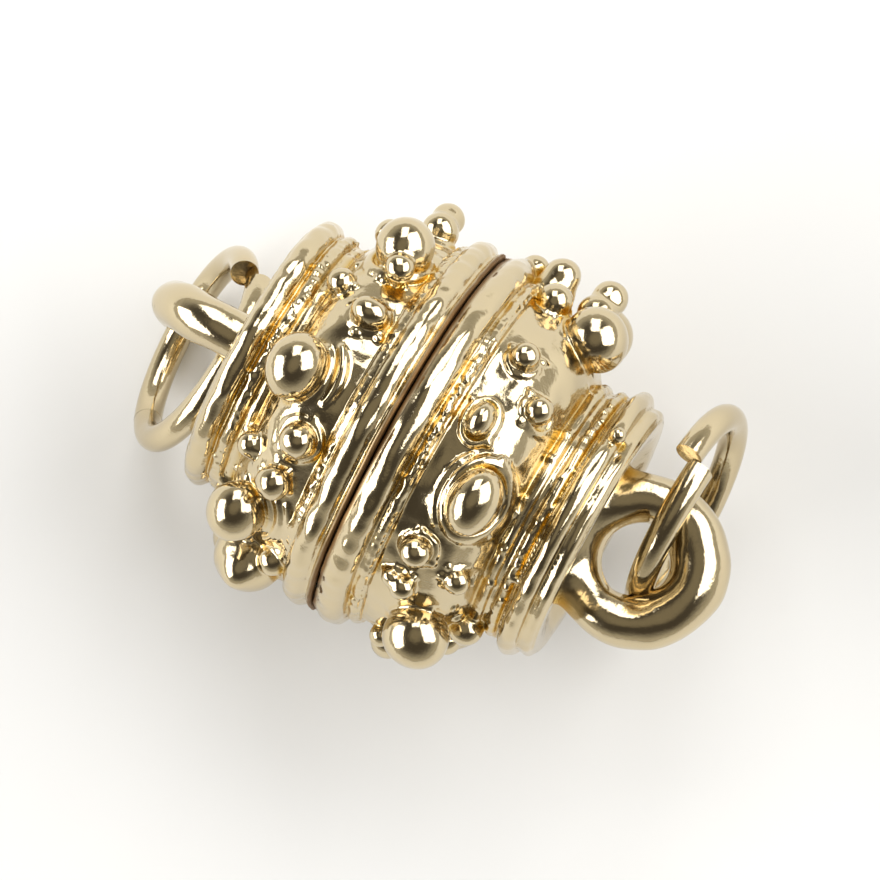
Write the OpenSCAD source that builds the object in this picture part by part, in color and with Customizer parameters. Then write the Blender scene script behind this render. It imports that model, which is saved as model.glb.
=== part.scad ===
// Magnetic barrel clasp: two cast halves with granulated bellies, lying on their balls.
// +X runs along the clasp's axis from half A to half B, +Z is up, and Z = 0 is the surface it lies on.

/* [Mating flange] */
// Diameter over the crowns of the two mating flanges
flange_d = 14.3; // [13.8:0.1:15.2]
// Width of the main rounded roll of a flange
flange_roll_w = 1.05; // [0.8:0.05:1.3]
// How deep the flat mating face cuts into the first roll
flange_land = 0.1; // [0.05:0.01:0.2]
// Gap between the two mating faces
seam_gap = 0.12; // [0.06:0.02:0.3]

/* [Belly] */
// Diameter of the belly beside the flange
belly_d = 12.7; // [12.3:0.1:13.1]
// Diameter of the neck where the belly ends
neck_d = 9.4; // [8.8:0.1:9.8]
// Length of half A's belly
belly_a_len = 2.9; // [2.5:0.05:3.3]
// Length of half B's belly
belly_b_len = 3.3; // [2.8:0.05:3.7]

/* [Ends] */
// Diameter over the crown of the largest end roll
end_d = 10.35; // [10:0.05:11]
// Width of the largest end roll
end_roll_w = 0.95; // [0.8:0.05:1.2]
// Diameter of the dish sunk into each end
dish_d = 7.6; // [6.8:0.1:8.2]
// Depth of the dish below the end roll's outer edge
dish_depth = 0.7; // [0.4:0.05:1]

/* [Balls and granules] */
// Diameter of the big balls
ball_d = 2.3; // [2:0.05:2.5]
// Diameter of the usual small granule
grain_d = 1.3; // [1.1:0.05:1.5]
// How far a big ball's centre stands above the belly, as a share of its diameter
ball_lift = 0.29; // [0.2:0.01:0.34]

/* [Loops] */
// Wire thickness of the cast loops
loop_wire_d = 1.7; // [1.4:0.05:1.9]
// Diameter of the hole in each loop
loop_hole_d = 2.75; // [2.6:0.05:3.2]
// Distance from half A's outer edge to the centre of its loop
loop_a_reach = 0.9; // [0.6:0.05:1.4]
// Distance from half B's outer edge to the centre of its loop
loop_b_reach = 1.75; // [1.3:0.05:2.2]

/* [Jump rings] */
// Outer diameter of the jump rings
ring_d = 8; // [7.6:0.1:8.6]
// Wire thickness of the jump rings
ring_wire_d = 1; // [0.8:0.05:1.1]
// Angle of wire missing at a ring's cut
ring_cut = 5; // [2:1:12]
// How far a ring's two cut ends are pushed apart sideways, as a turn of each half ring
ring_spread = 2.5; // [0:0.5:4]
// How far off its middle half A's ring hangs in the loop
ring_a_off = 1.05; // [0.8:0.05:1.3]
// Lean of half B's ring, its lower edge outwards
ring_b_lean = 6; // [0:1:12]
// Clearance between a ring's wire and the loop that holds it
ring_clear = 0.25; // [0.15:0.05:0.4]

/* [Magnets] */
// Diameter of the disc magnets
magnet_d = 8; // [6:0.5:9]
// Thickness of the disc magnets
magnet_h = 2; // [1.5:0.25:2.5]
// Clearance around a magnet in its pocket
magnet_fit = 0.05; // [0.02:0.01:0.1]

/* [Hidden] */
$fn = 64;
gold = "#d8c48c";
steel = "#c4c6c8";
overlap = flange_d / 480; // how far pieces of one casting run into each other
belly_steps = 12;
last_roll = 1.2; // station from which a granule sits on the largest end roll
floor_clear = ring_wire_d / 20;
ring_lap = 0.5; // degrees that a ring's two halves overlap
ring_hair = ring_wire_d / 100; // extra wire thickness of one half, so that the two don't share a surface

// Rolls from the mating face outwards: width over flange_roll_w, crown over flange_d, and the groove
// after the roll over flange_roll_w
flange_rolls_a = [[0.25, 0.982, 0.04], [0.9, 1, 0.08], [0.18, 0.925, 0.04]];
flange_rolls_b = [[1.05, 1, 0.18], [0.24, 0.93, 0.12]];

// Rolls from the belly to the end: width over end_roll_w, crown over end_d, groove over end_roll_w
end_rolls_a = [[0.26, 0.935, 0.14], [0.55, 0.965, 0.06], [0.96, 1, 0.02]];
end_rolls_b = [[0.42, 0.925, 0.2], [0.42, 0.925, 0.26], [0.74, 1, 0.1], [0.46, 0.94, 0.02]];

// Big balls: station along the belly (0 at the flange, 1 at the neck), angle from the top towards -Y,
// diameter over ball_d, collar diameter over the ball's own (0 for none)
balls_a = [
    [0.79, -1, 1, 0],
    [0.69, 52, 0.94, 0],
    [0.74, 113, 1, 0],
    [0.8, 180, 1, 0],
    [0.7, 238, 0.96, 0],
    [0.45, 307, 0.92, 1.18]
];
balls_b = [
    [0.65, 8.5, 0.97, 1.3],
    [0.68, 64, 1, 0],
    [0.72, 130, 0.95, 0],
    [0.635, 200, 1, 0],
    [0.7, 251, 0.96, 0],
    [0.8, 291, 1, 0]
];

// Granules: station along the belly (below 0 on the flange, above last_roll on the largest end roll),
// angle, diameter over grain_d, lift of the centre above what it sits on over the granule's own diameter,
// collar diameter over the granule's own (0 for none)
grains_a = [
    [0.35, 18, 1, 0.3, 1.3],
    [0.89, 32, 0.72, 0.3, 0],
    [0.4, 34, 0.95, 0.3, 0],
    [0.36, -26, 0.95, 0.25, 1.25],
    [0.89, -37, 0.8, 0.3, 0],
    [0.34, -43, 0.8, 0.62, 0],
    [0.42, 80, 1.9, 0.1, 0],
    [0.42, 76, 1.1, 0.6, 0],
    [0.1, 69.5, 0.8, 0.2, 0],
    [0.74, 77, 0.52, 0.35, 0],
    [1.09, 68, 0.45, 0.2, 0],
    [0.34, 136, 0.95, 0.3, 1.25],
    [0.9, 144, 0.75, 0.3, 0],
    [0.36, 153, 0.9, 0.3, 0],
    [0.35, 199, 0.95, 0.3, 0],
    [0.9, 207, 0.75, 0.3, 0],
    [0.34, 216, 1, 0.25, 1.25],
    [0.36, 266, 0.95, 0.25, 0],
    [0.88, 270, 0.8, 0.35, 0],
    [0.34, 275.5, 1, 0.3, 1.2],
    [0.34, 270.5, 0.9, 0.7, 0]
];
grains_b = [
    [0.29, -14, 0.85, 0.2, 1.5],
    [0.745, -27, 0.8, 0.3, 1.3],
    [0.34, -39, 0.8, 0.3, 1.3],
    [1.54, -40, 0.45, 0.16, 1.6],
    [0.34, 31, 0.85, 0.3, 1.3],
    [0.83, 38.5, 0.72, 0.3, 0],
    [0.36, 45.5, 0.72, 0.3, 0],
    [0.2, 44.5, 0.5, 0.3, 0],
    [0.29, 81, 0.62, 0.42, 0],
    [1.05, 76, 0.92, 0.36, 0],
    [0.34, 93, 0.95, 0.3, 1.25],
    [0.86, 100, 0.8, 0.3, 0],
    [0.36, 110, 0.9, 0.3, 0],
    [0.36, 143, 0.9, 0.3, 0],
    [0.4, 155.5, 1, 0.25, 0],
    [0.4, 164.5, 1, 0.25, 0],
    [0.45, 160, 1, 0.7675, 0],
    [0.88, 157, 0.75, 0.3, 0],
    [0.34, 180, 0.95, 0.3, 1.25],
    [0.34, 220, 0.95, 0.3, 1.25],
    [0.86, 227, 0.8, 0.3, 0],
    [0.36, 235, 0.9, 0.3, 0],
    [0.62, 272, 1.1, 0.45, 0],
    [0.65, 269, 0.98, 1.1, 0],
    [0.1, 271, 1.2, 0.2, 0],
    [0.1, 271, 1, 0.75, 0],
    [-0.22, 263, 0.8, 0.01, 0],
    [0.22, 287, 0.95, 0.3, 0]
];

// Length of a row of rolls and grooves up to and with roll i
function row_len(rolls, w, i) = i < 0 ? 0 : w * (rolls[i][0] + rolls[i][2]) + row_len(rolls, w, i - 1);
function whole_row(rolls, w) = row_len(rolls, w, len(rolls) - 1);
function belly_r(t) = neck_d / 2 + (belly_d - neck_d) / 2 * (1 - pow(min(max(t, 0), 1), 4));
function seat_r(t) = t < 0 ? flange_d / 2 : (t > last_roll ? end_d / 2 : belly_r(t));

face = seam_gap / 2;
belly_a = face - flange_land + whole_row(flange_rolls_a, flange_roll_w);
belly_b = face - flange_land + whole_row(flange_rolls_b, flange_roll_w);
ends_a = belly_a + belly_a_len;
ends_b = belly_b + belly_b_len;
edge_a = ends_a + whole_row(end_rolls_a, end_roll_w);
edge_b = ends_b + whole_row(end_rolls_b, end_roll_w);
loop_a = edge_a + loop_a_reach;
loop_b = edge_b + loop_b_reach;
loop_r = (loop_hole_d + loop_wire_d) / 2;
ring_r = (ring_d - ring_wire_d) / 2;

// Lowest reach of a table's balls below the clasp's axis
function ball_reach(b) = -cos(b[1]) * (belly_r(b[0]) + ball_lift * ball_d * b[2]) + ball_d * b[2] / 2;
function grain_reach(g) = -cos(g[1]) * (seat_r(g[0]) + g[3] * grain_d * g[2]) + grain_d * g[2] / 2;
axis_h = max(concat(
    [for (b = concat(balls_a, balls_b)) ball_reach(b)],
    [for (g = concat(grains_a, grains_b)) grain_reach(g)]
));

// Half A's ring passes the bottom of its loop's hole and stands on the surface, or hangs upright if
// it is too short to reach down
ring_a_pass = axis_h - loop_hole_d / 2 + ring_wire_d / 2 + ring_clear;
ring_a_chord = sqrt(ring_r * ring_r - ring_a_off * ring_a_off);
ring_a_rise = (ring_a_pass - ring_wire_d / 2 - floor_clear) / (ring_r + ring_a_chord);
ring_a_tilt = ring_a_rise < 1 ? asin(ring_a_rise) : 90;
ring_a_z = ring_a_pass - ring_a_chord * sin(ring_a_tilt);
ring_a_x = -loop_a - ring_a_chord * cos(ring_a_tilt);

// The origin lies below the middle of the clasp's length
mid_x = (loop_b - loop_a) / 2;

// One roll of a profile: its rounded crown, half a groove each side, and the metal below them
module roll(start, w, crown_d, groove) {
    core = (crown_d - w) / 2;
    translate([core, start + (w + groove) / 2]) circle(d = w);
    translate([0, start - overlap]) square([core, w + groove + 2 * overlap]);
}

module rolls(table, start, w, crown_d) {
    for (i = [0:len(table) - 1])
        roll(start + row_len(table, w, i - 1), w * table[i][0], crown_d * table[i][1], w * table[i][2]);
}

module belly(start, length) {
    polygon(concat(
        [[0, start - overlap], [belly_r(0), start - overlap]],
        [for (i = [0:belly_steps]) let (t = sin(90 * i / belly_steps)) [belly_r(t), start + t * length]],
        [[neck_d / 2, start + length + overlap], [0, start + length + overlap]]
    ));
}

// The turned form of one half, with its mating face down and its axis along Z
module turned_half(flange_rolls, belly_start, belly_len, end_rolls, edge) {
    rotate_extrude() difference() {
        union() {
            rolls(flange_rolls, face - flange_land, flange_roll_w, flange_d);
            belly(belly_start, belly_len);
            rolls(end_rolls, belly_start + belly_len, end_roll_w, end_d);
        }
        translate([0, face - flange_d]) square(flange_d);
        translate([0, edge]) square(flange_d);
        polygon([
            [-overlap, edge - dish_depth],
            [dish_d / 3, edge - dish_depth],
            [dish_d / 2, edge],
            [dish_d / 2, edge + overlap],
            [-overlap, edge + overlap]
        ]);
    }
}

// A ball on the belly, with a round collar at its foot where the table gives one
module bead(at, angle, centre_r, d, collar_d) {
    rotate([0, 0, angle]) translate([centre_r, 0, at]) {
        sphere(d = d);
        if (collar_d > 0) translate([-d, 0, 0]) rotate([0, 90, 0]) cylinder(d = collar_d, h = 0.85 * d);
    }
}

module beads(balls, grains, start, length) {
    for (b = balls) let (d = ball_d * b[2])
        bead(start + b[0] * length, b[1], belly_r(b[0]) + ball_lift * d, d, d * b[3]);
    for (g = grains) let (d = grain_d * g[2])
        bead(start + g[0] * length, g[1], seat_r(g[0]) + g[3] * d, d, d * g[4]);
}

module ring_wire(radius, wire_d, sweep) {
    rotate_extrude(angle = sweep) translate([radius, 0]) circle(d = wire_d);
}

// A cast loop: its hole runs along Y
module cast_loop(at) {
    translate([0, 0, at]) rotate([90, 0, 0]) ring_wire(loop_r, loop_wire_d, 360);
}

module pocket() {
    depth = face + magnet_h + 2 * magnet_fit;
    translate([0, 0, -overlap]) cylinder(d = magnet_d + 2 * magnet_fit, h = depth + overlap);
}

// Half A's own Z axis points along -X, and half B's along +X, both with their own X axis up
module place_a() {
    translate([-mid_x, 0, axis_h]) rotate([0, -90, 0]) mirror([0, 1, 0]) children();
}

module place_b() {
    translate([-mid_x, 0, axis_h]) rotate([0, 90, 0]) rotate([0, 0, 180]) children();
}

module half_a() {
    color(gold) place_a() difference() {
        union() {
            turned_half(flange_rolls_a, belly_a, belly_a_len, end_rolls_a, edge_a);
            beads(balls_a, grains_a, belly_a, belly_a_len);
            cast_loop(loop_a);
        }
        pocket();
    }
}

module half_b() {
    color(gold) place_b() difference() {
        union() {
            turned_half(flange_rolls_b, belly_b, belly_b_len, end_rolls_b, edge_b);
            beads(balls_b, grains_b, belly_b, belly_b_len);
            rotate([0, 0, 90]) cast_loop(loop_b);
        }
        pocket();
    }
}

module magnet() {
    translate([0, 0, face + magnet_fit]) cylinder(d = magnet_d, h = magnet_h);
}

module magnet_a() {
    color(steel) place_a() magnet();
}

module magnet_b() {
    color(steel) place_b() magnet();
}

// A cut ring in the XY plane, its cut on +X: the two halves turn apart about the wire opposite the cut
module jump_ring() {
    for (side = [1, -1])
        translate([-ring_r, 0, 0]) rotate([0, -side * ring_spread, 0]) translate([ring_r, 0, 0])
            rotate([0, 0, side > 0 ? ring_cut / 2 : 180 - ring_lap])
                ring_wire(ring_r, ring_wire_d + max(side, 0) * ring_hair, 180 - ring_cut / 2 + ring_lap);
}

// Leans towards half A's end, with its cut at the upper right
module jump_ring_a() {
    color(gold) translate([ring_a_x - mid_x, -ring_a_off, ring_a_z])
        rotate([0, -ring_a_tilt, 0]) rotate([0, 0, 62]) jump_ring();
}

// Hangs over the side of half B's loop, with its cut up
module jump_ring_b() {
    hang = loop_wire_d / 2 + ring_wire_d / 2 + ring_clear;
    color(gold) translate([loop_b - mid_x, loop_r + ring_clear / 2, axis_h + hang])
        rotate([0, -ring_b_lean, 0]) translate([0, 0, -ring_r])
            rotate([0, -90, 0]) rotate([0, 0, 26]) jump_ring();
}

half_a();
half_b();
magnet_a();
magnet_b();
jump_ring_a();
jump_ring_b();
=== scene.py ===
import math

import bpy
import numpy as np
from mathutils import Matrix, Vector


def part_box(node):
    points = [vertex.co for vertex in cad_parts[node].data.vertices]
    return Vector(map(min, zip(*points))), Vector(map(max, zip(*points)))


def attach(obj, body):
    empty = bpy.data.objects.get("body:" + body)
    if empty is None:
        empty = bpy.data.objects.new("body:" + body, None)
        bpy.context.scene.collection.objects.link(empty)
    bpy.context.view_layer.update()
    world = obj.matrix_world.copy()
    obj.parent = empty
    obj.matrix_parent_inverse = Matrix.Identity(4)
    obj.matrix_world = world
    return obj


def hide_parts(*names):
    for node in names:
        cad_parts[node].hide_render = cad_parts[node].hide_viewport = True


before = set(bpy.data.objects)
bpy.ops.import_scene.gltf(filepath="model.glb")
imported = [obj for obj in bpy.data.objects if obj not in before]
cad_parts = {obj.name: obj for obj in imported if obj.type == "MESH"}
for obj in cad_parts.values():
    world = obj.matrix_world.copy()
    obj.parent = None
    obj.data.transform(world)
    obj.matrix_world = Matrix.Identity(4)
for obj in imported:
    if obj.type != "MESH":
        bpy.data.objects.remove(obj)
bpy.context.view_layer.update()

import openvdb
from mathutils import Matrix, Vector

mm = 0.001

# The clasp's axis runs along X at this height, and the two halves meet at seamX, both in mm
magnetLow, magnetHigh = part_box("magnet_a")
axisHeight = (magnetLow.z + magnetHigh.z) / 2 / mm
seamX = (magnetHigh.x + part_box("magnet_b")[0].x) / 2 / mm


# Small helpers for the castings' distance fields, where every length is in mm

def softMin(a, b, reach):
    gap = np.maximum(reach - np.abs(a - b), 0) / reach
    return np.minimum(a, b) - gap * gap * reach / 4


def softMax(a, b, reach):
    return -softMin(-a, -b, reach)


def ripple(points, wavelength, seed):
    # A smooth lumpy pattern from a few sine waves in random directions, between about -1 and 1
    random = np.random.default_rng(seed)
    waves, spread = 7, (0.75, 1.35)  # how many, and their lengths as shares of the one asked for
    total = 0
    for _ in range(waves):
        direction = random.normal(size=3)
        length = wavelength * random.uniform(*spread)
        direction *= 2 * math.pi / (length * np.linalg.norm(direction))
        phase = random.uniform(0, 2 * math.pi)
        total = total + np.sin(sum(d * p for d, p in zip(direction, points)) + phase)
    return total / math.sqrt(waves)


# The cast halves

halfA = {
    "name": "castHalfA", "node": "half_a", "body": "side_a", "side": -1, "seed": 11,
    "bellyStart": 1.524, "bellyLength": 2.9, "edge": 6.315,  # start and outer edge from the seam
    # Turned rolls: middle from the seam, width, shoulder width, crown radius, share of the usual grit
    "rolls": [
        (0.11, 0.26, 0.31, 7.02, 0),
        (0.78, 0.95, 1.03, 7.15, 0),
        (1.41, 0.19, 0.24, 6.61, 1.0),
        (4.61, 0.34, 0.38, 4.8, 0),
        (5.09, 0.55, 0.58, 4.99, 0.7),
        (5.85, 0.91, 0.93, 5.175, 0),
    ],
    # Raised balls: station along the belly, degrees from the top, diameter, height of the centre above
    # the belly, collar diameter, stretch along and across the axis, crumbs round the foot, of which
    # half are left out where a collar is
    "balls": [
        (0.79, -1, 2.3, 0.67, 0, 0.93, 1.07, 10),
        (0.69, 52, 2.16, 0.63, 0, 0.95, 1.05, 10),
        (0.74, 113, 2.3, 0.67, 0, 1, 1, 12),
        (0.8, 180, 2.3, 0.667, 0, 1, 1, 12),
        (0.7, 238, 2.21, 0.64, 0, 1, 1, 12),
        (0.45, 307, 2.12, 0.61, 2.5, 0.95, 1, 10),
        (0.35, 18, 1.3, 0.39, 1.69, 1, 1, 5),
        (0.89, 32, 0.94, 0.28, 0, 1, 1, 12),
        (0.4, 34, 1.24, 0.37, 0, 1, 1, 10),
        (0.36, -26, 1.24, 0.31, 1.54, 1.1, 0.9, 8),
        (0.89, -37, 1.04, 0.31, 0, 1, 1, 10),
        (0.34, -43, 1.04, 0.64, 0, 1, 1, 4),
        (0.42, 80, 2.47, 0.25, 0, 1, 1, 12),
        (0.42, 76, 1.43, 0.86, 0, 1, 1, 6),
        (0.1, 69.5, 1.04, 0.21, 0, 1, 1, 14),
        (0.74, 77, 0.68, 0.24, 0, 1, 1, 6),
        (1.09, 68, 0.59, 0.12, 0, 1, 1, 10),
        (0.34, 136, 1.24, 0.37, 1.54, 1, 1, 5),
        (0.9, 144, 0.98, 0.29, 0, 1, 1, 8),
        (0.36, 153, 1.17, 0.35, 0, 1, 1, 7),
        (0.35, 199, 1.24, 0.37, 0, 1, 1, 7),
        (0.9, 207, 0.98, 0.29, 0, 1, 1, 8),
        (0.34, 216, 1.3, 0.33, 1.63, 1, 1, 5),
        (0.36, 266, 1.24, 0.31, 0, 1, 1, 7),
        (0.88, 270, 1.04, 0.36, 0, 1, 1, 7),
        (0.34, 275.5, 1.3, 0.39, 1.56, 1, 1, 5),
        (0.34, 270.5, 1.17, 0.82, 0, 1, 1, 0),
    ],
    # Ribs curved round a ball's side towards the seam: the ball's row, radius, wire thickness, and
    # the degrees of the rib's middle and of half its spread
    "ribs": [
        (0, 1.22, 0.24, 4, 62),
        (0, 1.66, 0.46, -14, 34),
        (1, 1.22, 0.22, 8, 55),
        (1, 1.62, 0.3, 0, 40),
        (1, 1.98, 0.3, -6, 28),
    ],
    # Cast loop: middle from the seam, radius of the wire's centre line, wire thickness, how much
    # thicker the wire is at the outer end
    "loop": (7.215, 2.225, 1.7, 0), "upright": True,
}

halfB = {
    "name": "castHalfB", "node": "half_b", "body": "side_b", "side": 1, "seed": 23,
    "bellyStart": 1.63, "bellyLength": 3.3, "edge": 7.419,
    # Every row says what it says in halfA
    "rolls": [
        (0.09, 0.2, 0.26, 6.94, 0),
        (0.61, 1.1, 1.29, 7.15, 0),
        (1.44, 0.25, 0.38, 6.65, 1.0),
        (5.22, 0.4, 0.59, 4.79, 0.15),
        (5.84, 0.4, 0.65, 4.79, 0.4),
        (6.56, 0.7, 0.8, 5.175, 0),
        (7.19, 0.44, 0.46, 4.86, 0),
    ],
    "balls": [
        (0.65, 8.5, 2.2, 0.65, 2.9, 0.82, 1.14, 10),
        (0.68, 64, 2.3, 0.67, 0, 1, 1, 14),
        (0.72, 130, 2.19, 0.63, 0, 1, 1, 12),
        (0.635, 200, 2.3, 0.667, 0, 1, 1, 12),
        (0.7, 251, 2.21, 0.64, 0, 1, 1, 12),
        (0.8, 291, 2.3, 0.67, 0, 1, 1, 14),
        (0.29, -14, 1.11, 0.24, 1.66, 0.82, 1.17, 5),
        (0.745, -27, 1.04, 0.31, 1.35, 1, 1, 5),
        (0.34, -39, 1.04, 0.31, 1.35, 1, 1, 6),
        (1.54, -40, 0.59, 0.57, 0.94, 1, 1, 0),
        (0.34, 31, 1.11, 0.33, 1.44, 1, 1, 5),
        (0.83, 38.5, 0.94, 0.28, 1.15, 1, 1, 6),
        (0.36, 45.5, 0.94, 0.28, 0, 1, 1, 10),
        (0.2, 44.5, 0.65, 0.2, 0, 1, 1, 6),
        (0.29, 81, 0.81, 0.34, 0, 1, 1, 5),
        (1.05, 76, 1.2, 0.43, 0, 1, 1, 5),
        (0.34, 93, 1.24, 0.37, 1.54, 1, 1, 5),
        (0.86, 100, 1.04, 0.31, 0, 1, 1, 7),
        (0.36, 110, 1.17, 0.35, 0, 1, 1, 7),
        (0.36, 143, 1.17, 0.35, 0, 1, 1, 7),
        (0.4, 155.5, 1.3, 0.33, 0, 1, 1, 5),
        (0.4, 164.5, 1.3, 0.33, 0, 1, 1, 5),
        (0.45, 160, 1.3, 0.998, 0, 1, 1, 0),
        (0.88, 157, 0.98, 0.29, 0, 1, 1, 7),
        (0.34, 180, 1.24, 0.37, 1.54, 1, 1, 5),
        (0.34, 220, 1.24, 0.37, 1.54, 1, 1, 5),
        (0.86, 227, 1.04, 0.31, 0, 1, 1, 7),
        (0.36, 235, 1.17, 0.35, 0, 1, 1, 7),
        (0.62, 272, 1.43, 0.64, 0, 1, 1, 8),
        (0.65, 269, 1.27, 1.4, 0, 1, 1, 0),
        (0.1, 271, 1.56, 0.31, 0, 1, 1, 8),
        (0.1, 271, 1.3, 0.98, 0, 1, 1, 0),
        (-0.22, 263, 1.04, 0.81, 0, 1, 1, 4),
        (0.22, 287, 1.24, 0.37, 0, 1, 1, 6),
    ],
    "ribs": [
        (0, 1.62, 0.2, 0, 48),
        (5, 1.34, 0.26, -20, 60),
    ],
    "loop": (9.168, 2.225, 1.7, 0.36), "upright": False,
}

casting = {
    "cell": 0.071,  # spacing of the grid that the surface is drawn through
    "coarseCell": 0.11,
    "gridMargin": 0.3,
    "profileStep": 0.02,  # between the radii that the turned form is worked out for
    "adaptivity": 0.02,  # how freely flat stretches are drawn with larger faces
    "drawSteps": 3,  # that bring every point exactly onto the surface
    # The turned form
    "bellyRadius": 6.35,
    "bellyPower": 4,  # how late the belly curves in to the neck
    "neckRadius": 4.7,
    "coreRadius": 4.5,  # of the metal under all the rolls
    "coreFillet": 0.05,
    "overlap": 0.06,  # of the belly and of each roll into what lies beside it
    "rollFillet": 0.11,
    "dishRadius": 3.8,
    "dishFloorRadius": 2.53,
    "dishDepth": 0.7,
    "dishFillet": 0.25,
    "dishLipRounding": 0.12,
    "pocketRadius": 4.05,
    "pocketDepth": 2.16,
    "faceGap": 0.02,  # from the seam's middle to a mating face
    "faceRounding": 0.06,
    # Unevenness left by casting and tumbling
    "waveLength": 2.6,
    "waveHeight": 0.045,
    "ruffleLength": 0.85,
    "ruffleHeight": 0.02,
    "ruffleSeed": 7,  # added to the half's own seed, as dentSeed is
    # How far the turned form is out of round: waves in a turn, height
    "outOfRound": [(2, 0.03), (3, 0.025), (5, 0.018), (9, 0.013), (17, 0.008), (31, 0.004)],
    # Faint lines that run round the rolls, fade in and out a few times in a turn and wander a little
    "streakPitch": 0.47,
    "streakHeight": 0.006,
    "streakFades": 3,
    "streakDrift": 2,  # radians that the fades shift in each mm along the axis
    "streakBends": 4,
    "streakWander": 0.9,  # radians of the lines' own wave
    # Beads of a gritty roll
    "gritPitch": 0.23,
    "gritJitter": 0.3,  # share of the pitch, and of the roll's width
    "gritSize": 0.26,
    "gritSizes": (0.5, 1.2),  # shares of gritSize
    "gritSink": (0.35, 0.6),  # how far a bead's middle lies under the crown, in shares of its size
    # Balls, collars, ribs and crumbs
    "ballFillet": 0.18,
    "ballReach": 0.6,  # of a stretched ball from its middle, as a share of its diameter
    "dentLength": 0.6,  # share of the ball's diameter, as the height is
    "dentHeight": 0.009,
    "dentSeed": 3,
    "collarWire": 0.14,  # share of the collar's diameter
    "collarLumpLength": 0.6,
    "collarLumpHeight": 0.009,
    "wireRise": 0.1,  # of a collar's or rib's middle above the belly, as a share of its wire
    "ribTaper": 1.1,  # radians of the cosine that thins a rib towards its ends
    "crumbFillet": 0.13,
    "crumbSizes": (0.13, 0.32),
    "crumbSpread": (-0.04, 0.14),  # of the crumbs' middles, out from the foot
    "crumbRise": 0.02,
    "leastFoot": 0.1,  # foot radius of a ball that is stacked on others
    # Loops
    "loopFillet": 1.2,
    "loopLumps": [(3.4, 0.05), (1.6, 0.027)],  # wavelength, height
    "swellStart": 0.3,  # how far behind the loop's middle its wire begins to thicken
    # How far the changed field reaches past a form
    "closeMargin": 0.2,
    "wideMargin": 0.3,
    "loopMargin": 1,
    # Masks for the plating's painted tones: deeper gold in crevices, which is partly its own tone and
    # partly painted bounce light, and the painted shade of the seam's gap
    "creviceReaches": (0.15, 0.35, 0.6),  # how far out from the surface the room is measured
    "seamShade": 0.32,  # how far from the seam's middle the metal is dulled and painted with the gap's brown shade
    "seamRadius": 6.68,  # inside this the mating faces stay bright
    "seamBlend": 0.25,
}


def bellyRadius(half, s):
    t = np.clip((s - half["bellyStart"]) / half["bellyLength"], 0, 1)
    fall = 1 - t ** casting["bellyPower"]
    return casting["neckRadius"] + (casting["bellyRadius"] - casting["neckRadius"]) * fall


def bellySlope(half, s):
    t = np.clip((s - half["bellyStart"]) / half["bellyLength"], 0, 1)
    power = casting["bellyPower"]
    steep = -power * t ** (power - 1)
    return steep * (casting["bellyRadius"] - casting["neckRadius"]) / half["bellyLength"]


def slabDistance(s, r, middle, halfWidth, top):
    across, up = np.abs(s - middle) - halfWidth, r - top
    return np.hypot(np.maximum(across, 0), np.maximum(up, 0)) + np.minimum(np.maximum(across, up), 0)


def profileDistance(half, s, r):
    # Distance from the turned form's outline, at a distance s from the seam, for many radii r
    overlap = casting["overlap"]
    edge, face = half["edge"], casting["faceGap"]
    steep = math.hypot(1, bellySlope(half, s))
    ends = abs(s - half["bellyStart"] - half["bellyLength"] / 2) - half["bellyLength"] / 2 - overlap
    field = np.maximum((r - bellyRadius(half, s)) / steep, ends)
    for middle, width, shoulder, crown, _ in half["rolls"]:
        top = crown - width / 2
        roll = np.hypot(r - top, s - middle) - width / 2
        slab = slabDistance(s, r, middle, shoulder / 2 + overlap, top)
        field = softMin(field, np.minimum(roll, slab), casting["rollFillet"])
    core = slabDistance(s, r, (face + edge) / 2, (edge - face) / 2, casting["coreRadius"])
    field = softMin(field, core, casting["coreFillet"])
    slope = (casting["dishRadius"] - casting["dishFloorRadius"]) / casting["dishDepth"]
    rim = casting["dishRadius"] + (s - edge) * slope
    floor = edge - casting["dishDepth"]
    dish = softMax((r - rim) / math.hypot(1, slope), floor - s, casting["dishFillet"])
    return softMax(field, -dish, casting["dishLipRounding"])


def rimWaves(half, s, turn):
    # How far the turned form is out of round, with its faint lines
    random = np.random.default_rng(half["seed"])
    wave = 0
    for count, height in casting["outOfRound"]:
        phase, drift = random.uniform(0, 2 * math.pi), random.uniform(-1, 1)
        wave = wave + height * np.sin(count * turn + phase + drift * s)
    streak = 2 * math.pi * s / casting["streakPitch"]
    fade = 0.5 + 0.5 * np.sin(casting["streakFades"] * turn + casting["streakDrift"] * s)
    wander = casting["streakWander"] * np.sin(casting["streakBends"] * turn + s)
    return wave + casting["streakHeight"] * fade * np.sin(streak + wander)


def gridAxes(half, cell):
    low, high = (np.array(corner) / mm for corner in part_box(half["node"]))
    margin = casting["gridMargin"]
    return [np.arange(a - margin, b + margin + cell, cell) for a, b in zip(low, high)]


def turnedField(half, axes):
    x, y, z = axes
    sideways, up = np.meshgrid(y, z - axisHeight, indexing="ij")
    radius, turn = np.hypot(sideways, up), np.arctan2(-sideways, up)
    spare = 0.1  # the profile reaches this far past the grid's corners
    radii = np.arange(0, radius.max() + spare, casting["profileStep"])
    field = np.empty((len(x), len(y), len(z)), np.float32)
    ruffleSeed = half["seed"] + casting["ruffleSeed"]
    for i, s in enumerate(half["side"] * (x - seamX)):
        outline = profileDistance(half, s, radii)
        here = (s, sideways, up)
        waves = casting["waveHeight"] * ripple(here, casting["waveLength"], half["seed"])
        waves += casting["ruffleHeight"] * ripple(here, casting["ruffleLength"], ruffleSeed)
        field[i] = np.interp(radius - rimWaves(half, s, turn) - waves, radii, outline)
    return field


def window(axes, middle, reach):
    # The part of the grid around a point, and its coordinates
    spans = tuple(slice(*np.searchsorted(a, (m - reach, m + reach))) for a, m in zip(axes, middle))
    return spans, np.meshgrid(*[a[s] for a, s in zip(axes, spans)], indexing="ij")


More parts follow.
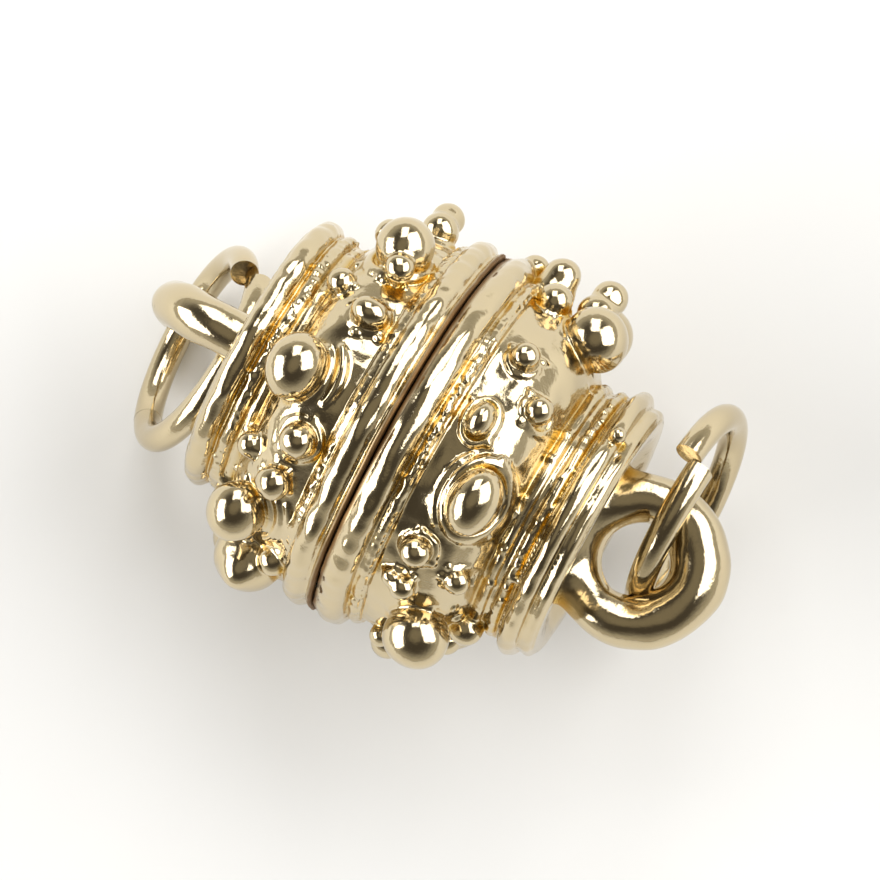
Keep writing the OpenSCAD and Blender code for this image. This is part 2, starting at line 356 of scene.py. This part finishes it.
def onBelly(half, s, angle, height):
    radius = bellyRadius(half, s) + height
    return np.array([
        seamX + half["side"] * s,
        -radius * math.sin(angle),
        axisHeight + radius * math.cos(angle),
    ])


def aboveBelly(half, points):
    belly = bellyRadius(half, half["side"] * (points[0] - seamX))
    return np.hypot(points[1], points[2] - axisHeight) - belly


def localPlace(half, points, middle, angle):
    # Coordinates around a ball: along the axis, across it, and out from the belly
    x, y, z = (p - m for p, m in zip(points, middle))
    across = -y * math.cos(angle) - z * math.sin(angle)
    out = -y * math.sin(angle) + z * math.cos(angle)
    return half["side"] * x, across, out


def addGrain(field, axes, middle, diameter):
    spans, points = window(axes, middle, diameter / 2 + casting["closeMargin"])
    near = np.sqrt(sum((p - m) ** 2 for p, m in zip(points, middle))) - diameter / 2
    field[spans] = softMin(field[spans], near, casting["crumbFillet"])


def addGrit(half, field, axes, random):
    # Beads of uneven size on the gritty rolls
    jitter = casting["gritJitter"]
    for middle, width, _, crown, share in half["rolls"]:
        beads = int(share * 2 * math.pi * crown / casting["gritPitch"])
        for i in range(beads):
            angle = 2 * math.pi * (i + random.uniform(-jitter, jitter)) / beads
            s = middle + random.uniform(-jitter, jitter) * width
            size = casting["gritSize"] * random.uniform(*casting["gritSizes"])
            height = crown - bellyRadius(half, s) - size * random.uniform(*casting["gritSink"])
            addGrain(field, axes, onBelly(half, s, angle, height), size)


def addCollar(half, field, axes, place, collar):
    # A ring of wire round a ball's foot, wrapped onto the belly and a little lumpy
    s, angle, along, across = place
    wire = casting["collarWire"] * collar
    ring = collar / 2 - wire / 2
    middle = onBelly(half, s, angle, 0)
    spans, points = window(axes, middle, ring * max(along, across) + wire + casting["closeMargin"])
    a, b, _ = localPlace(half, points, middle, angle)
    above = aboveBelly(half, points) - casting["wireRise"] * wire
    lumps = casting["collarLumpHeight"] * ripple(points, casting["collarLumpLength"], half["seed"])
    around = np.hypot(np.hypot(a / along, b / across) - ring, above) - wire / 2 + lumps
    field[spans] = softMin(field[spans], around, casting["crumbFillet"])


def addRib(half, field, axes, rib):
    # A rib that thins towards both ends, curved round a ball's side
    row, ring, wire, turned, spread = rib
    station, degrees, _, _, _, along, across, _ = half["balls"][row]
    angle, turned, spread = (math.radians(value) for value in (degrees, turned, spread))
    middle = onBelly(half, half["bellyStart"] + station * half["bellyLength"], angle, 0)
    spans, points = window(axes, middle, ring * max(along, across) + wire + casting["wideMargin"])
    a, b, _ = localPlace(half, points, middle, angle)
    above = aboveBelly(half, points) - casting["wireRise"] * wire
    bearing = np.clip(np.arctan2(b / across, -a / along) - turned, -spread, spread) + turned
    thinned = wire / 2 * np.cos((bearing - turned) / spread * casting["ribTaper"])
    onward, sideways = ring * along * np.cos(bearing), ring * across * np.sin(bearing)
    near = np.sqrt((a + onward) ** 2 + (b - sideways) ** 2 + above ** 2) - thinned
    field[spans] = softMin(field[spans], near, casting["ballFillet"])


def addCrumbs(half, field, axes, place, foot, count, random):
    # Crumbs of metal round a ball's foot
    s, angle, along, across = place
    for _ in range(count):
        around, size = random.uniform(0, 2 * math.pi), random.uniform(*casting["crumbSizes"])
        out = foot + random.uniform(*casting["crumbSpread"])
        turned = angle + out * math.sin(around) * across / casting["bellyRadius"]
        middle = onBelly(half, s + out * math.cos(around) * along, turned, casting["crumbRise"])
        addGrain(field, axes, middle, size)


def addBall(half, field, axes, row, random):
    station, degrees, diameter, lift, collar, along, across, crumbs = row
    angle = math.radians(degrees)
    s = half["bellyStart"] + station * half["bellyLength"]
    place = (s, angle, along, across)
    foot = math.sqrt(max((diameter / 2) ** 2 - lift ** 2, casting["leastFoot"] ** 2))
    if collar > 0:
        addCollar(half, field, axes, place, collar)
        foot, crumbs = collar / 2, crumbs // 2
    middle = onBelly(half, s, angle, lift)
    spans, points = window(axes, middle, diameter * casting["ballReach"] + casting["wideMargin"])
    local = localPlace(half, points, middle, angle)
    radii = np.array([along, across, 1]) * diameter / 2
    # Distance from an ellipsoid, true near its surface
    near = np.sqrt(sum((p / r) ** 2 for p, r in zip(local, radii)))
    steep = np.sqrt(sum((p / r ** 2) ** 2 for p, r in zip(local, radii))) + 1e-6  # never quite zero
    dents = ripple(points, casting["dentLength"] * diameter, half["seed"] + casting["dentSeed"])
    ball = near * (near - 1) / steep + casting["dentHeight"] * diameter * dents
    field[spans] = softMin(field[spans], ball, casting["ballFillet"])
    addCrumbs(half, field, axes, place, foot, crumbs, random)


def addLoop(half, field, axes):
    reach, ringRadius, wire, swell = half["loop"]
    middle = np.array([seamX + half["side"] * reach, 0, axisHeight])
    spans, points = window(axes, middle, ringRadius + wire / 2 + casting["loopMargin"])
    x, y, z = (p - m for p, m in zip(points, middle))
    around, through = (z, y) if half["upright"] else (y, z)
    lumps = 0
    for i, (length, height) in enumerate(casting["loopLumps"]):
        lumps = lumps + height * ripple(points, length, half["seed"] + i)
    radius = np.hypot(x, around)
    least = 0.1  # keeps the division sound at the loop's middle
    outward = half["side"] * x / np.maximum(radius, least)
    more = swell / 2 * np.clip(outward + casting["swellStart"], 0, 1)
    loop = np.hypot(radius - ringRadius + more, through) - wire / 2 - more + lumps
    field[spans] = softMin(field[spans], loop, casting["loopFillet"])


def castField(half, axes):
    field = turnedField(half, axes)
    random = np.random.default_rng(half["seed"])
    addLoop(half, field, axes)
    addGrit(half, field, axes, random)
    for rib in half["ribs"]:
        addRib(half, field, axes, rib)
    for row in half["balls"]:
        addBall(half, field, axes, row, random)
    # Cut flat at the mating face, and hollow for the magnet
    s = half["side"] * (axes[0] - seamX)[:, None, None]
    field = softMax(field, casting["faceGap"] - s, casting["faceRounding"])
    radius = np.hypot(axes[1][:, None], axes[2] - axisHeight)
    pocket = np.maximum(radius - casting["pocketRadius"], s - casting["pocketDepth"])
    return np.maximum(field, -pocket).astype(np.float32)


def sampleField(field, low, cell, points):
    at = np.clip((points - low) / cell, 0, np.array(field.shape) - 1.001)  # just inside the last cell
    base = at.astype(np.int64)
    part = at - base
    total = 0
    for corner in range(8):
        step = np.array([corner & 1, corner >> 1 & 1, corner >> 2 & 1])
        weight = np.prod(np.where(step, part, 1 - part), axis=1)
        i, j, k = (base + step).T
        total = total + weight * field[i, j, k]
    return total


def fieldSlope(field, low, cell, points):
    reach = 0.6 * cell
    slopes = []
    for step in np.eye(3) * reach:
        ahead, behind = (sampleField(field, low, cell, points + way * step) for way in (1, -1))
        slopes.append((ahead - behind) / (2 * reach))
    return np.stack(slopes, axis=1)


def largestPiece(points, faces):
    # Drops any speck that the surface leaves in a crevice
    edges = np.concatenate([f[:, [0, k]] for f in faces for k in range(1, f.shape[1])])
    label, before = np.arange(len(points)), None
    while before is None or (label != before).any():
        before, label = label, label.copy()
        lower = before[edges].min(1)
        for end in (0, 1):
            np.minimum.at(label, edges[:, end], lower)
        label = label[label]
    kept = label == np.bincount(label).argmax()
    number = np.cumsum(kept) - 1
    return points[kept], [number[f[kept[f[:, 0]]]] for f in faces]


def drawSurface(field, low, cell):
    # The points, triangles and quads of the cast surface, with every point exactly on it
    band = 3 * cell
    grid = openvdb.FloatGrid(band)
    grid.copyFromArray(np.clip(field, -band, band))
    points, *faces = grid.convertToPolygons(0, casting["adaptivity"])
    points, faces = largestPiece(low + cell * points, faces)
    for _ in range(casting["drawSteps"]):
        slope = fieldSlope(field, low, cell, points)
        step = sampleField(field, low, cell, points) / (slope ** 2).sum(1)
        points = points - step[:, None] * slope
    return points, faces


def creviceShade(field, low, cell, points, normals):
    # How closed in each point is, from 0 in the open to 1 deep in a crevice. It sets where the gold is
    # painted deeper, partly the plating's own darker tone and partly painted bounce light
    shade = 0
    for reach in casting["creviceReaches"]:
        room = sampleField(field, low, cell, points + normals * reach) / reach
        shade = shade + np.clip(1 - room, 0, 1) / len(casting["creviceReaches"])
    return shade


def seamShade(half, points):
    # 1 at the seam's line round the outside, and 0 away from it and further in on the mating faces. It
    # sets where the gap's painted brown shade goes
    inSeam = np.clip(1 - half["side"] * (points[:, 0] - seamX) / casting["seamShade"], 0, 1)
    radius = np.hypot(points[:, 1], points[:, 2] - axisHeight)
    return inSeam * np.clip((radius - casting["seamRadius"]) / casting["seamBlend"], 0, 1)


def newMesh(name, points, faces):
    triangles, quads = faces
    corners = np.concatenate([triangles.ravel(), quads.ravel()])
    starts = np.concatenate([
        np.arange(len(triangles)) * 3,
        len(triangles) * 3 + np.arange(len(quads)) * 4,
    ])
    mesh = bpy.data.meshes.new(name)
    mesh.vertices.add(len(points))
    mesh.vertices.foreach_set("co", (points * mm).astype(np.float32).ravel())
    mesh.loops.add(len(corners))
    mesh.loops.foreach_set("vertex_index", corners.astype(np.int32))
    mesh.polygons.add(len(starts))
    mesh.polygons.foreach_set("loop_start", starts.astype(np.int32))
    mesh.update(calc_edges=True)
    mesh.validate()
    return mesh


def castHalf(half):
    cell = casting["cell"]
    axes = gridAxes(half, cell)
    low = np.array([a[0] for a in axes])
    field = castField(half, axes)
    points, faces = drawSurface(field, low, cell)
    normals = fieldSlope(field, low, cell, points)
    normals /= np.linalg.norm(normals, axis=1)[:, None]
    mesh = newMesh(half["name"], points, faces)
    shades = {"crevice": creviceShade(field, low, cell, points, normals), "seam": seamShade(half, points)}
    for name, values in shades.items():
        mesh.attributes.new(name, "FLOAT", "POINT").data.foreach_set("value", values.astype(np.float32))
    mesh.shade_smooth()
    mesh.normals_split_custom_set_from_vertices(normals)
    piece = bpy.data.objects.new(half["name"], mesh)
    bpy.context.scene.collection.objects.link(piece)
    triangles = sum(len(f) * (f.shape[1] - 2) for f in faces)
    print(half["name"], "has", triangles, "triangles from", field.size, "grid points")
    return piece


# Materials

def hexToLinear(code):
    # By the sRGB curve
    parts = [int(code[i:i + 2], 16) / 255 for i in (1, 3, 5)]
    return [v / 12.92 if v <= 0.04045 else ((v + 0.055) / 1.055) ** 2.4 for v in parts] + [1]


def addNode(tree, kind, settings=None, inputs=None):
    node = tree.nodes.new(kind)
    for name, value in (settings or {}).items():
        setattr(node, name, value)
    for name, value in (inputs or {}).items():
        if isinstance(value, bpy.types.NodeSocket):
            tree.links.new(value, node.inputs[name])
        else:
            node.inputs[name].default_value = value
    return node


def newMaterial(name):
    material = bpy.data.materials.new(name)
    material.use_nodes = True
    material.node_tree.nodes.clear()
    return material, material.node_tree


# Settings that several materials share, and a Mix node's sockets: two values and two colours in,
# and the mixed value or colour out
smooth = {"interpolation_type": "SMOOTHSTEP"}
mixValues, mixColours = {"data_type": "FLOAT"}, {"data_type": "RGBA"}
valueA, valueB, colourA, colourB = 2, 3, 6, 7
mixedValue, mixedColour = 0, 2

paleGoldPlate = {
    "gold": "#cfbf9d",
    "deepGoldAndBounceLight": "#cfaa52",
    "seamGapShadeBrown": "#80623f",
    "roughness": 0.13,
    "creviceRoughness": 0.26,
    "seamRoughness": 0.55,
    "creviceRange": (0.3, 0.85),  # of the crevice shade, where the gold deepens: partly the plating's own darker tone in recesses, partly painted bounce light between gold surfaces
    "seamRange": (0.2, 0.7),  # of the seam shade, where the plating dulls and the gap's painted brown shade lies
    "peel": 1.1,  # mm, wavelength of the polish's soft unevenness
    "peelDetail": 4.0,
    "peelFineness": 0.68,
    "peelHeight": 0.025,  # mm
    "peelStrength": 0.9,
    "pits": 0.09,  # mm across
    "pitDepth": 0.02,  # mm
}


def makeGoldPlate():
    # Zinc alloy, cast, barrel polished and gold plated: mirror bright, rougher in crevices and deeper
    # gold there, partly the plating's own darker tone in recesses and partly painted bounce light between
    # the gold surfaces; along the seam, a painted brown shade of the gap
    look = paleGoldPlate
    material, tree = newMaterial("polishedGoldPlate")
    place = addNode(tree, "ShaderNodeTexCoord").outputs["Object"]
    crevice = addNode(tree, "ShaderNodeAttribute", {"attribute_name": "crevice"}).outputs["Fac"]
    shade = addNode(tree, "ShaderNodeMapRange", smooth, {
        "Value": crevice,
        "From Min": look["creviceRange"][0], "From Max": look["creviceRange"][1]}).outputs["Result"]
    # Deeper gold in crevices: partly the plating's own darker tone in recesses, partly painted bounce
    # light between gold surfaces
    colour = addNode(tree, "ShaderNodeMix", mixColours, {
        "Factor": shade,
        colourA: hexToLinear(look["gold"]), colourB: hexToLinear(look["deepGoldAndBounceLight"])}).outputs[mixedColour]
    seam = addNode(tree, "ShaderNodeAttribute", {"attribute_name": "seam"}).outputs["Fac"]
    inSeam = addNode(tree, "ShaderNodeMapRange", smooth, {
        "Value": seam,
        "From Min": look["seamRange"][0], "From Max": look["seamRange"][1]}).outputs["Result"]
    # A painted brown shade of the gap between the halves, along the seam's line round the outside
    colour = addNode(tree, "ShaderNodeMix", mixColours, {
        "Factor": inSeam, colourA: colour, colourB: hexToLinear(look["seamGapShadeBrown"])}).outputs[mixedColour]
    rough = addNode(tree, "ShaderNodeMapRange", {}, {
        "Value": shade,
        "To Min": look["roughness"], "To Max": look["creviceRoughness"]}).outputs["Result"]
    rough = addNode(tree, "ShaderNodeMix", mixValues, {
        "Factor": inSeam, valueA: rough, valueB: look["seamRoughness"]}).outputs[mixedValue]
    peel = addNode(tree, "ShaderNodeTexNoise", {}, {
        "Vector": place, "Scale": 1 / (look["peel"] * mm),
        "Detail": look["peelDetail"], "Roughness": look["peelFineness"]}).outputs["Fac"]
    pits = addNode(tree, "ShaderNodeTexNoise", {}, {
        "Vector": place, "Scale": 1 / (look["pits"] * mm)}).outputs["Fac"]
    softBump = addNode(tree, "ShaderNodeBump", {}, {
        "Height": peel, "Strength": look["peelStrength"],
        "Distance": look["peelHeight"] * mm}).outputs["Normal"]
    gritBump = addNode(tree, "ShaderNodeBump", {}, {
        "Height": pits, "Strength": shade, "Distance": look["pitDepth"] * mm,
        "Normal": softBump}).outputs["Normal"]
    metal = addNode(tree, "ShaderNodeBsdfPrincipled", {}, {
        "Base Color": colour, "Metallic": 1.0, "Roughness": rough, "Normal": gritBump}).outputs["BSDF"]
    addNode(tree, "ShaderNodeOutputMaterial", {}, {"Surface": metal})
    return material


satinNickelPlate = {
    "nickel": "#c9c6bf",
    "leastRoughness": 0.18,
    "mostRoughness": 0.32,
    "cloud": 0.6,  # mm, of the finish's soft patches
}


def makeNickelPlate():
    # Nickel plated in a barrel, on the magnets: a cooler, slightly satin grey with soft patches
    look = satinNickelPlate
    material, tree = newMaterial("satinNickelPlate")
    place = addNode(tree, "ShaderNodeTexCoord").outputs["Object"]
    cloud = addNode(tree, "ShaderNodeTexNoise", {}, {
        "Vector": place, "Scale": 1 / (look["cloud"] * mm)}).outputs["Fac"]
    rough = addNode(tree, "ShaderNodeMapRange", {}, {
        "Value": cloud,
        "To Min": look["leastRoughness"], "To Max": look["mostRoughness"]}).outputs["Result"]
    metal = addNode(tree, "ShaderNodeBsdfPrincipled", {}, {
        "Base Color": hexToLinear(look["nickel"]), "Metallic": 1.0, "Roughness": rough}).outputs["BSDF"]
    addNode(tree, "ShaderNodeOutputMaterial", {}, {"Surface": metal})
    return material


# Pieces

goldPlate = makeGoldPlate()
nickelPlate = makeNickelPlate()

for half in (halfA, halfB):
    piece = castHalf(half)
    piece.data.materials.append(goldPlate)
    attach(piece, half["body"])
    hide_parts(half["node"])
print("cast halves are made")

plating = {
    "jump_ring_a": goldPlate,
    "jump_ring_b": goldPlate,
    "magnet_a": nickelPlate,
    "magnet_b": nickelPlate,
}
for name, material in plating.items():
    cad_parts[name].data.materials.clear()
    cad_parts[name].data.materials.append(material)
print("rings and magnets are plated")


# Stage

studio = {
    "turn": 29,  # degrees that the clasp is turned in the picture
    "lean": 6.5,  # degrees that the camera stands towards half B, off the vertical
    "aimSide": 0.3,  # mm from the clasp's axis to the picture's middle
    "frameWidth": 30.6,  # mm across the picture
    "distance": 252,  # mm from the clasp's axis to the camera
    "sensorWidth": 36,  # mm
    "tableRadius": 450,  # mm
    "tableCorners": 96,
    "tableColours": ("#eaeae9", "#ededec"),
    "tableCloud": 40,  # mm, between the two colours
    "tableRoughness": 0.8,
    # The room's light by the height that a ray looks at, from 0 for level to 1 for straight up
    "walls": "#c9c5b9",
    "shade": "#504b43",
    "ceiling": "#8f8877",
    "shadeRange": (0.0, 0.68),  # from the walls to the shade
    "ceilingRange": (0.84, 0.99),  # from the shade to the ceiling
    # Softboxes: degrees anticlockwise from the picture's right, degrees above the table, distance,
    # width and height in mm, brightness
    "softboxes": [
        ("softboxLeft", 182, 29, 300, 340, 180, 4.7),
        ("softboxRight", 14, 40, 300, 340, 250, 3.6),
        ("softboxBack", 88, 40, 330, 170, 250, 3.3),
    ],
}


def makePaleTable():
    # Matt painted board: no shine, and the faintest soft patches
    material, tree = newMaterial("paleMattTable")
    place = addNode(tree, "ShaderNodeTexCoord").outputs["Object"]
    cloud = addNode(tree, "ShaderNodeTexNoise", {}, {
        "Vector": place, "Scale": 1 / (studio["tableCloud"] * mm)}).outputs["Fac"]
    first, second = (hexToLinear(code) for code in studio["tableColours"])
    colour = addNode(tree, "ShaderNodeMix", mixColours, {
        "Factor": cloud, colourA: first, colourB: second}).outputs[mixedColour]
    board = addNode(tree, "ShaderNodeBsdfPrincipled", {}, {
        "Base Color": colour, "Roughness": studio["tableRoughness"]}).outputs["BSDF"]
    addNode(tree, "ShaderNodeOutputMaterial", {}, {"Surface": board})
    return material


def addTable():
    radius, corners = studio["tableRadius"] * mm, studio["tableCorners"]
    angles = [2 * math.pi * i / corners for i in range(corners)]
    outline = [(radius * math.cos(angle), radius * math.sin(angle), 0) for angle in angles]
    mesh = bpy.data.meshes.new("paleTable")
    mesh.from_pydata(outline, [], [list(range(corners))])
    table = bpy.data.objects.new("paleTable", mesh)
    table.data.materials.append(makePaleTable())
    bpy.context.scene.collection.objects.link(table)


def pictureDirection(degrees, elevation):
    a, e = math.radians(degrees + studio["turn"]), math.radians(elevation)
    return Vector((math.cos(a) * math.cos(e), math.sin(a) * math.cos(e), math.sin(e)))


def addSoftbox(name, degrees, elevation, distance, width, height, brightness):
    light = bpy.data.lights.new(name, "AREA")
    light.shape = "RECTANGLE"
    light.size, light.size_y = width * mm, height * mm
    light.energy = brightness * math.pi * width * height * mm * mm
    lamp = bpy.data.objects.new(name, light)
    direction = pictureDirection(degrees, elevation)
    lamp.location = direction * distance * mm + Vector((0, 0, axisHeight * mm))
    lamp.rotation_mode = "QUATERNION"
    lamp.rotation_quaternion = direction.to_track_quat("Z", "Y")
    lamp.visible_camera = False
    bpy.context.scene.collection.objects.link(lamp)


def addCamera():
    data = bpy.data.cameras.new("camera")
    data.sensor_width = studio["sensorWidth"]
    data.lens = studio["sensorWidth"] * studio["distance"] / studio["frameWidth"]
    camera = bpy.data.objects.new("camera", data)
    aim = Matrix.Translation(Vector((0, studio["aimSide"], axisHeight)) * mm)
    lean = Matrix.Rotation(math.radians(studio["lean"]), 4, "Y")
    turn = Matrix.Rotation(math.radians(studio["turn"]), 4, "Z")
    away = Matrix.Translation(Vector((0, 0, studio["distance"] * mm)))
    camera.matrix_world = aim @ lean @ turn @ away
    bpy.context.scene.collection.objects.link(camera)
    bpy.context.scene.camera = camera


def addRoom():
    # A dim room: light walls, a dark band above them and a faintly lit ceiling
    world = bpy.data.worlds.new("dimRoom")
    world.use_nodes = True
    tree = world.node_tree
    tree.nodes.clear()
    direction = addNode(tree, "ShaderNodeTexCoord").outputs["Generated"]
    height = addNode(tree, "ShaderNodeSeparateXYZ", {}, {"Vector": direction}).outputs["Z"]
    colour = hexToLinear(studio["walls"])
    for tone, heights in (("shade", "shadeRange"), ("ceiling", "ceilingRange")):
        start, end = studio[heights]
        climb = addNode(tree, "ShaderNodeMapRange", smooth, {
            "Value": height, "From Min": start, "From Max": end}).outputs["Result"]
        colour = addNode(tree, "ShaderNodeMix", mixColours, {
            "Factor": climb, colourA: colour, colourB: hexToLinear(studio[tone])}).outputs[mixedColour]
    glow = addNode(tree, "ShaderNodeBackground", {}, {
        "Color": colour, "Strength": 1.0}).outputs["Background"]
    addNode(tree, "ShaderNodeOutputWorld", {}, {"Surface": glow})
    bpy.context.scene.world = world


addTable()
for row in studio["softboxes"]:
    addSoftbox(*row)
addCamera()
addRoom()
bpy.context.scene.view_settings.view_transform = "Standard"
print("the stage is set")
